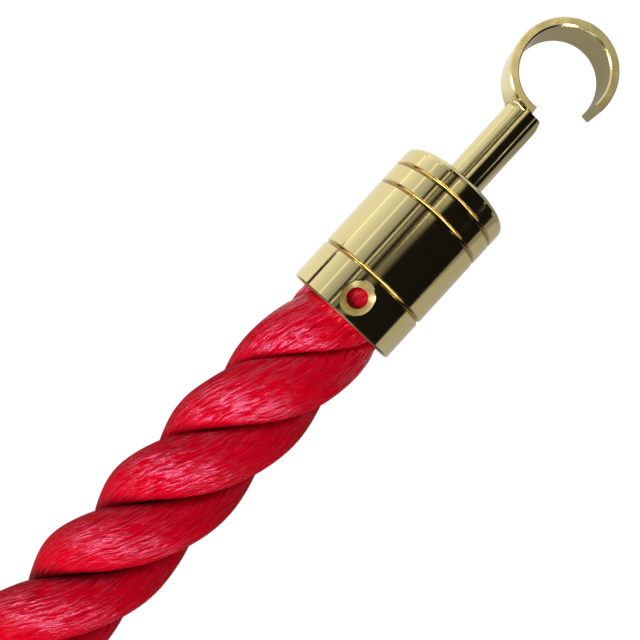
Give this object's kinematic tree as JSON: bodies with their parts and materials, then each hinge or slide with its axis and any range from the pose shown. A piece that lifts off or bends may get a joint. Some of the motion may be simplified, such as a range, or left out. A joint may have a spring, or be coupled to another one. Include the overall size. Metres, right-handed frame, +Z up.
{
  "type": "velvet barrier rope",
  "caption": "Thick three-strand barrier rope with turned brass end cups and swivelling open ring hooks, folded as a flat hank.",
  "frame": {"origin": "on the floor, midway between the two end fittings and midway along their length", "axes": "+X from the rope towards the hooks, +Y from the near fitting to the far one, +Z up, square to the surface the hank lies on"},
  "size_m": [0.8126, 0.2246, 0.0335],
  "materials": {
    "rope": "glossy laid synthetic yarn",
    "binding": "matt whipping tape",
    "brass": "polished",
    "steel": "zinc plated"
  },
  "bodies": {
    "rope_and_cups": {"rope": "rope", "cup_near": "brass", "rope_tail_near": "rope", "end_binding_near": "binding", "fixing_screw_near": "steel", "cup_far": "brass", "rope_tail_far": "rope", "end_binding_far": "binding", "fixing_screw_far": "steel"},
    "hook_near": {"hook_shank_near": "brass", "hook_ring_near": "brass", "swivel_washer_near": "steel", "swivel_nut_near": "steel"},
    "hook_far": {"hook_shank_far": "brass", "hook_ring_far": "brass", "swivel_washer_far": "steel", "swivel_nut_far": "steel"}
  },
  "joints": [
    {"name": "swivel_near", "type": "hinge", "parent": "rope_and_cups", "child": "hook_near", "pos_m": [-0.008, -0.095, 0.01675], "axis": [1, 0, 0], "continuous": true},
    {"name": "swivel_far", "type": "hinge", "parent": "rope_and_cups", "child": "hook_far", "pos_m": [-0.008, 0.095, 0.01675], "axis": [1, 0, 0], "continuous": true}
  ]
}
